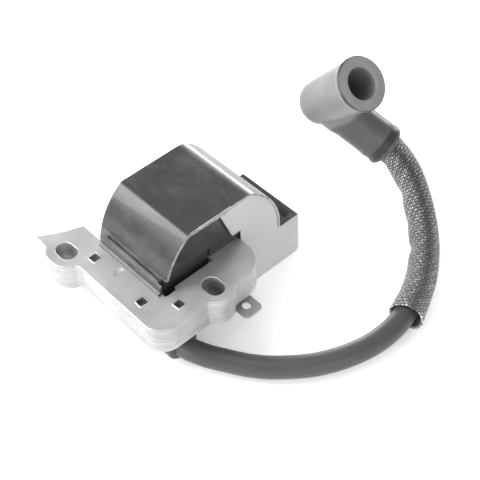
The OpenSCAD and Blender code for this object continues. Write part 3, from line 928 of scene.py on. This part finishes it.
# The lead's exit in x and z, and the tunnel that it leaves through.
EXIT = (10.6, 5.6)
TUNNEL_R, TUNNEL_Y = 5.6, (-38.6, -17)
COLLAR_SEAT_R = 4.2
RAIL = [
    (8.6, RAIL_Z), (8.6, 24.8), (9.4, 25.2), (9.8, 27.1), (10.9, 27.4), (11.3, 26.2),
    (12.2, 26.2), (13.0, 27.2), (13.0, RAIL_Z),
]
# The step in the near end face, and how deep its two levels lie.
STEP_X, STEP_Z = 41.65, 27.6
STEP_LINE = [(38.3, STEP_Z), (34.0, 39.2)]
RECESS_DEEP, PLATE_DEEP = 1.4, 0.25
BEVEL, BEVEL_DEGREES = 0.28 * MM, 28
# Besides the plain black plastic, the case's materials are painted light: a painted reflection on the near face's
# flat, painted highlights on the near rim and the rail, painted light on the trough's walls.
CASE_MATS = ["case", "case_painted_reflection", "case_painted_edge_highlight", "case_rail_painted_highlight", "case_trough_painted_light"]
PLAIN, PLATE_REFLECTION, RIM_HIGHLIGHT, RAIL_HIGHLIGHT, TROUGH_LIGHT = range(5)


def shoulders(inward):
    """The right shoulder from its foot to the flat top, and the left one from the top down."""
    r = SHOULDER_R - inward
    top = TOP_Z - inward

    def rise(z, centre_z):
        return math.degrees(math.asin((z - centre_z) / r))

    right = arc(RIGHT_X, RIGHT_Z, r, rise(RIGHT_FOOT, RIGHT_Z), rise(top, RIGHT_Z), 48)
    left = arc(
        CASE_X + SHIFT, SHOULDER_Z, r,
        180 - rise(top, SHOULDER_Z), 180 - rise(FOOT_Z, SHOULDER_Z), 40,
    )
    return right, left


def eased(path, corner, flat, reach):
    """Rounds the corner where a path that ends at it meets the flat top."""
    keep = [p for p in path if math.dist(p, corner) > reach]
    a, b = keep[-1], (corner[0] + flat * reach, corner[1])
    parts = 8
    curve = []
    for k in range(1, parts + 1):
        t = k / parts
        curve.append(tuple(
            (1 - t) ** 2 * a[j] + 2 * t * (1 - t) * corner[j] + t * t * b[j] for j in (0, 1)
        ))
    return keep + curve


def arch(inward):
    """The coil housing's x-z outline, moved inward by a wall's thickness."""
    right, left = shoulders(inward)
    right = eased(right, right[-1], -1, EASE_RIGHT)
    left = eased(left[::-1], left[0], 1, EASE_LEFT)[::-1]
    pts = right + left + [(LEFT_X + inward, RAIL_Z)]
    pts += arc(LEFT_X + HEEL_R + inward, HEEL_R + inward, HEEL_R, 180, 270, 8)
    pts += [(right[0][0], inward)]
    return tidy_loop(pts, 0.01)


def case_solids():
    """The solids that make up the case's outside, the first of them the housing."""
    near = CASE_Y[0]
    box = [
        (BOX_LEFT, 0), (BOX_FOOT, 0), (BOX_RIGHT, BOX_CHAMFER), (BOX_RIGHT, TROUGH_Z),
        (BOX_LEFT, TROUGH_Z),
    ]
    return [
        drawn(arch(0), *CASE_Y),
        drawn(box, near, BOX_Y1),
        drawn(RAIL, near + 0.02, -5.5),
        rod(*EXIT, TUNNEL_R, *TUNNEL_Y),
    ]


def case_cutters():
    """What is cut away: the hollows, the step in the near face, and room for core and lead."""
    near, far = CASE_Y
    recess = tidy_loop(
        shoulders(1.0)[1] + [(11.9, RAIL_Z), (STEP_X, RAIL_Z), (STEP_X, STEP_Z)] + STEP_LINE
    )
    plate = tidy_loop(
        [(34.1, 39.0), (38.3, 27.65), (41.6, 27.65), (41.6, -1), (70, -1), (70, 17.5), (57.3, 17.5)]
        + shoulders(0.75)[0]
    )
    cavity = drawn(arch(WALL), near + END_WALL, far - WALL)
    trough = block(TROUGH_X, BOX_RIGHT - 0.95, near + END_WALL, BOX_Y1 - WALL, TROUGH_FLOOR, 20)
    recess = drawn(recess, near - 1, near + RECESS_DEEP)
    plate = drawn(plate, near - 1, near + PLATE_DEEP)
    leg_gap = block(29.0, STEP_X, near - 1, near + END_WALL + 0.01, 13.9, 24.1)
    opening = block(10.4, 30.0, near - 1, near + END_WALL + 0.02, 14.0, 27.6)
    far_hole = block(29.85, STEP_X, far - WALL - 0.01, far + 1, 13.85, 24.15)
    leg_room = block(-10, 10.55, near - 1, 6, 13.85, 24.0)
    bore = rod(*EXIT, LEAD_R_MM, -40, -18)
    collar_seat = rod(*EXIT, COLLAR_SEAT_R, -40, -36)
    return [
        cavity, trough, recess, plate, leg_gap, opening, far_hole, leg_room, bore, collar_seat,
    ]


def case_face_kind(face, near):
    """Which material a face gets, from where it is; near is the y of the near end face."""
    x, _, z = in_mm(face.center)
    deep = (face.center.y - near) / MM
    turn = face.normal
    # The flat of the near end face: painted reflection.
    if 0.2 < deep < 0.3 and turn.y < -0.9 and x > 34:
        return PLATE_REFLECTION
    # The bevels along the near face's top edges: painted highlight.
    if -0.1 < deep < 0.24 and z > 27 and abs(turn.y) > 0.12:
        return RIM_HIGHLIGHT
    # The rail's upward faces: painted highlight.
    if x < 13.2 and 24.3 < z < 27.5 and turn.z > 0.25 and deep > -0.1:
        return RAIL_HIGHLIGHT
    # The trough's inner walls: painted light.
    if 58.2 < x < BOX_RIGHT - 0.9 and 10.9 < z < TROUGH_Z - 0.1 and deep > 2.2:
        return TROUGH_LIGHT
    return PLAIN


def add_case():
    case, *others = case_solids()
    combine(case, others, "UNION")
    combine(case, case_cutters(), "DIFFERENCE")
    merge_flat(case)
    bevel = case.modifiers.new("bevel", "BEVEL")
    bevel.width = BEVEL
    bevel.segments = 3
    bevel.limit_method = "ANGLE"
    bevel.angle_limit = math.radians(BEVEL_DEGREES)
    bevel.use_clamp_overlap = True
    apply_modifiers(case)
    case.name = "case_moulding"
    case.data.materials.clear()
    for mat in CASE_MATS:
        case.data.materials.append(MATS[mat])
    near = at(0, CASE_Y[0], 0).y
    for face in case.data.polygons:
        face.material_index = case_face_kind(face, near)
    finish_piece(case, BASE, ["case_shell"], 32, True)


add_case()


# ---------------------------------------------------------------- small parts of the body
TAB_CORNER, TAB_HOLE_R = 1.3, 1.35
COLLAR = [
    (-36, 3.62), (-36, 4.15), (-38.6, 4.15), (-38.6, 5.45), (-38.75, 5.58), (-40.2, 5.58),
    (-40.55, 5.45), (-40.76, 5.1), (-40.8, 4.4), (-40.7, 3.75), (-40.4, 3.62),
]
FLASH_X, FLASH_STEPS, FLASH_FADE = (22.2, 38.4), 260, 12
RESIN_X0, RESIN_GAP, RESIN_CELLS = 58.05, 0.05, (26, 70)
SKIN_LOW, SKIN_HIGH, RIPPLE = 0.01, 0.2, 0.12
MENISCUS_RISE, MENISCUS_REACH = 0.55, 0.5


def add_tab():
    (x0, y0, z0), (x1, y1, z1) = [in_mm(corner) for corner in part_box("kill_tab")]
    cut = TAB_CORNER
    outer = facing([
        (x0 + cut, y0), (x1 - cut, y0), (x1 - cut * 0.4, y0 + cut * 0.45), (x1, y0 + cut), (x1, y1),
        (x0, y1), (x0, y0 + cut), (x0 + cut * 0.4, y0 + cut * 0.45),
    ])
    hole = MOUNTS["kill_tab_hole"]["pos_m"]
    cx, cy = (hole[0] - SLOT_A.x) / MM, (hole[1] - SLOT_A.y) / MM
    ring = facing(arc(cx, cy, TAB_HOLE_R, 0, 352.5, 47), True)
    still = (0, 0)
    rings = [
        (z0, 0.12, still), (z0 + 0.05, 0.03, still), (z0 + 0.12, 0.0, still),
        (z1 - 0.14, 0.0, still), (z1 - 0.05, 0.04, still), (z1, 0.14, still),
    ]
    verts, faces = stacked([outer, ring], framed(rings))
    piece("kill_tab_blade", verts, faces, ["tab"], BASE, ["kill_tab"], flat=True)


def add_collar(sides=96):
    """The rubber collar around the lead, a closed section of (y, radius) turned about it."""
    x, z = EXIT
    verts, faces = [], []
    m = len(COLLAR)
    for k in range(sides):
        a = 2 * math.pi * k / sides
        for y, r in COLLAR:
            verts.append(at(x + r * math.cos(a), y, z + r * math.sin(a)))
    for k in range(sides):
        for i in range(m):
            a, b = k * m, (k + 1) % sides * m
            j = (i + 1) % m
            faces.append((a + i, a + j, b + j, b + i))
    piece(
        "grommet_collar", verts, faces, ["lead"], BASE, ["lead_grommet"], 30,
        flat=True,
    )


def add_flash():
    """The ragged flash left along the near edge of the case's top."""
    n = FLASH_STEPS
    x0, x1 = FLASH_X
    y = CASE_Y[0]
    verts, faces = [], []
    for i in range(n + 1):
        x = x0 + (x1 - x0) * i / n
        end = min(1.0, i / FLASH_FADE, (n - i) / FLASH_FADE)
        rag = noise.noise(Vector((x * 1.7, 0, 3))) + 0.7 * noise.noise(Vector((x * 6, 2, 0)))
        out = end * (0.08 + 0.34 * max(0.0, rag))
        rise = end * 0.3 * max(0.0, noise.noise(Vector((x * 2.6, 5, 9))) + 0.05)
        section = [
            (y + 0.3, -0.3), (y + 0.3, 0.0), (y - out * 0.5, 0.03 + rise),
            (y - out, rise * 0.6 - 0.06), (y - out * 0.7, -0.2),
        ]
        verts += [at(x, py, TOP_Z + pz) for py, pz in section]
    m = len(section)
    for i in range(n):
        for k in range(m):
            a, b, j = i * m, (i + 1) * m, (k + 1) % m
            faces.append((a + k, a + j, b + j, b + k))
    faces.append(tuple(range(m)))
    faces.append(tuple(range((n + 1) * m - 1, n * m - 1, -1)))
    # The flash takes the rim's painted highlight.
    piece("mould_flash", verts, faces, ["case_painted_edge_highlight"], BASE, (), 30, flat=True)


def add_resin_skin():
    """The cured resin in the trough, with a meniscus up the walls."""
    x0, x1 = RESIN_X0, BOX_RIGHT - WALL - RESIN_GAP
    y0, y1 = CASE_Y[0] + END_WALL + RESIN_GAP, BOX_Y1 - WALL - RESIN_GAP
    nx, ny = RESIN_CELLS
    verts, faces = [], []
    for level in (0, 1):
        for j in range(ny + 1):
            for i in range(nx + 1):
                x, y = x0 + (x1 - x0) * i / nx, y0 + (y1 - y0) * j / ny
                d = min(x - x0, x1 - x, y - y0, y1 - y)
                lift = MENISCUS_RISE * math.exp(-d / MENISCUS_REACH)
                lift += RIPPLE * noise.noise(Vector((x * 0.4, y * 0.3, 1)))
                verts.append(at(x, y, POT_Z + SKIN_HIGH + lift if level else POT_Z + SKIN_LOW))

    def spot(level, i, j):
        return (level * (ny + 1) + j) * (nx + 1) + i

    def wall(a, b):
        faces.append((spot(0, *a), spot(0, *b), spot(1, *b), spot(1, *a)))

    for j in range(ny):
        for i in range(nx):
            a, b, c, d = (i, j), (i + 1, j), (i + 1, j + 1), (i, j + 1)
            faces.append(tuple(spot(1, *corner) for corner in (a, b, c, d)))
            faces.append(tuple(spot(0, *corner) for corner in (a, d, c, b)))
    for i in range(nx):
        wall((i, 0), (i + 1, 0))
        wall((i + 1, ny), (i, ny))
    for j in range(ny):
        wall((0, j + 1), (0, j))
        wall((nx, j), (nx, j + 1))
    piece("resin_surface", verts, faces, ["resin"], BASE, (), 50)


add_tab()
add_collar()
add_flash()
add_resin_skin()


# ---------------------------------------------------------------- plug boot
MOUTH_DIR = Vector(MOUNTS["plug_socket"]["axis"]).normalized()
ARM_LEN = 26.0
ELBOW = ARM_END - ARM_DIR * ARM_LEN * MM
VOXEL = 0.26 * MM
# Sections of (distance from the elbow, radius), along the mouth or along the arm.
BARREL = [
    (-7.55, 0), (-7.5, 2.6), (-7.2, 4.4), (-6.4, 6.0), (-5.0, 6.9), (-3.2, 7.25), (6, 7.75),
    (15.9, 8.2), (17.4, 8.3), (18.2, 8.55), (18.7, 8.76), (19.3, 8.78), (19.6, 8.7),
    (19.78, 8.4), (19.78, 0),
]
ARM = [
    (0, 0), (0.01, 6.5), (6, 6.75), (16, 6.75), (19.9, 6.75), (20.6, 6.88), (21.3, 7.0),
    (21.9, 6.92), (22.4, 6.78), (24.2, 6.78), (24.8, 7.05), (25.3, 7.2), (25.7, 7.15),
    (25.97, 6.8), (25.97, 0),
]
WEB = [(2.0, 0), (2.01, 7.2), (7.2, 7.2), (10.5, 6.7), (10.52, 0)]
MOUTH_BORE = [(6.8, 0), (6.81, 5.05), (18.9, 5.05), (19.5, 5.15), (20.5, 5.6), (20.51, 0)]
CHAMBER = [(-4, 0), (-3.99, 4.2), (7.5, 4.2), (7.51, 0)]
CABLE_BORE = [(7.3, 0), (7.31, 3.66), (28, 3.66), (28.01, 0)]
SLEEVE_SEAT = [(18, 0), (18.01, 5.8), (25.5, 5.8), (26.5, 6.1), (26.51, 0)]


def turned(profile, origin, axis, n=96):
    """A lathe about an axis, from (distance along, radius) points that start and end at radius 0."""
    axis = axis.normalized()
    side = axis.cross(Vector((0, 0, 1))).normalized()
    up = side.cross(axis)
    verts, faces, rows = [], [], []
    for d, r in profile:
        if r <= 0:
            rows.append([len(verts)])
            verts.append(origin + axis * d * MM)
            continue
        rows.append(list(range(len(verts), len(verts) + n)))
        for k in range(n):
            a = 2 * math.pi * k / n
            verts.append(origin + axis * d * MM + (side * math.cos(a) + up * math.sin(a)) * r * MM)
    for ra, rb in zip(rows, rows[1:]):
        for k in range(n):
            j = (k + 1) % n
            if len(ra) == 1:
                faces.append((ra[0], rb[k], rb[j]))
            elif len(rb) == 1:
                faces.append((ra[k], rb[0], ra[j]))
            else:
                faces.append((ra[k], rb[k], rb[j], ra[j]))
    mesh = bpy.data.meshes.new("turned")
    mesh.from_pydata([tuple(v) for v in verts], [], faces)
    return closed(mesh)


def along_and_off(point, axis):
    """Distance along an axis through the elbow and distance from it, in millimetres."""
    along = (point - ELBOW).dot(axis) / MM
    return along, ((point - ELBOW) - axis * along * MM).length / MM


def rubber_tone_and_shade(point):
    """How light the rubber is: dark on the arm and the rim, darkest in a band by the arm's end; the arm, that band
    and the barrel's darker closed end are painted shade.
    """
    along, off = along_and_off(point, MOUTH_DIR)
    on_arm, off_arm = along_and_off(point, ARM_DIR)
    # Painted shade: the cable arm is darker than the barrel, and the barrel is darker towards its closed end.
    t = min(1.0, max(0.0, (off - 8.3) / 2.2)) if on_arm > 6 else 0.0
    blotch = noise.noise(point * 130.0) + 0.5 * noise.noise(point * 330.0)
    painted_end_shade = min(1.0, max(0.0, (8.0 - along) / 15.0))
    tone = (1.06 - 0.3 * painted_end_shade + 0.1 * blotch) * (1 - 0.58 * t * t * (3 - 2 * t))
    # Painted shade in the groove band by the arm's end.
    if 21.7 < on_arm < 24.6 and t == 1.0:
        tone = 0.17
    if along > 18.9 and off > 8.35:
        tone = 0.45 + 0.35 * noise.noise(Vector([c * 400 for c in point]))
    if (off < 5.4 and along < 19.3) or (off > 8 and off_arm < 6.0):
        tone = 0.85
    return tone


def add_boot():
    barrel = turned(BARREL, ELBOW, MOUTH_DIR)
    combine(barrel, [turned(section, ELBOW, ARM_DIR) for section in (ARM, WEB)], "UNION")
    along_mouth = [turned(section, ELBOW, MOUTH_DIR) for section in (MOUTH_BORE, CHAMBER)]
    along_arm = [turned(section, ELBOW, ARM_DIR) for section in (CABLE_BORE, SLEEVE_SEAT)]
    combine(barrel, along_mouth + along_arm, "DIFFERENCE")
    remesh = barrel.modifiers.new("remesh", "REMESH")
    remesh.mode = "VOXEL"
    remesh.voxel_size = VOXEL
    remesh.adaptivity = 0.0
    soft = barrel.modifiers.new("soft", "SMOOTH")
    soft.factor = 0.5
    soft.iterations = 5
    apply_modifiers(barrel)
    barrel.name = "plug_boot_rubber"
    barrel.data.materials.clear()
    barrel.data.materials.append(MATS["boot"])
    tones_and_shade = [rubber_tone_and_shade(v.co) for v in barrel.data.vertices]
    paint(barrel, "tone", [(tone, tone, tone, 1.0) for tone in tones_and_shade])
    finish_piece(barrel, BOOT, ["plug_boot"], 60)
    return barrel


boot = add_boot()

for mat, nodes in NODE_MATERIALS.items():
    for node in nodes:
        materials = frame["nodes"][node].data.materials
        materials.clear()
        materials.append(MATS[mat])


# ---------------------------------------------------------------- stage
FLOOR_HALF = 3.0
AIM = Vector((0.0, 0.0, 0.02))
# Each light: name, place, width, height, power.
LIGHTS = [
    ("key_left", (-0.8, 0.02, 0.26), 0.5, 0.5, 3.6),
    ("front_fill", (-0.2, -0.75, 0.3), 0.4, 0.4, 1.6),
    ("backdrop_right", (0.64, 0.42, 0.11), 1.0, 0.2, 7.5),
    ("streak_left", (-0.33, 0.36, 0.5), 0.16, 0.7, 3.9),
    ("top_soft", (-0.1, 0.0, 0.9), 0.7, 0.7, 1.4),
]
SKY = 0.55


def add_floor():
    mesh = bpy.data.meshes.new("floor")
    s = FLOOR_HALF
    mesh.from_pydata([(-s, -s, 0), (s, -s, 0), (s, s, 0), (-s, s, 0)], [], [(0, 1, 2, 3)])
    mesh.materials.append(Mat("floor").set(
        Base_Color=(0.93, 0.93, 0.93), Roughness=0.9, Specular_IOR_Level=0.1,
        Emission_Color=(1.0, 1.0, 1.0), Emission_Strength=0.3,
    ))
    placed("floor", mesh)


def add_light(name, place, width, height, power):
    data = bpy.data.lights.new(name, "AREA")
    data.shape = "RECTANGLE"
    data.size = width
    data.size_y = height
    data.energy = power
    obj = placed(name, data)
    obj.location = Vector(place)
    obj.rotation_euler = (AIM - obj.location).to_track_quat("-Z", "Y").to_euler()


add_floor()
for light in LIGHTS:
    add_light(*light)
world = bpy.data.worlds.new("world")
world.use_nodes = True
background = world.node_tree.nodes["Background"].inputs
background["Color"].default_value = (1, 1, 1, 1)
background["Strength"].default_value = SKY
scene = bpy.context.scene
scene.world = world
scene.view_settings.view_transform = "Standard"
scene.view_settings.look = "None"
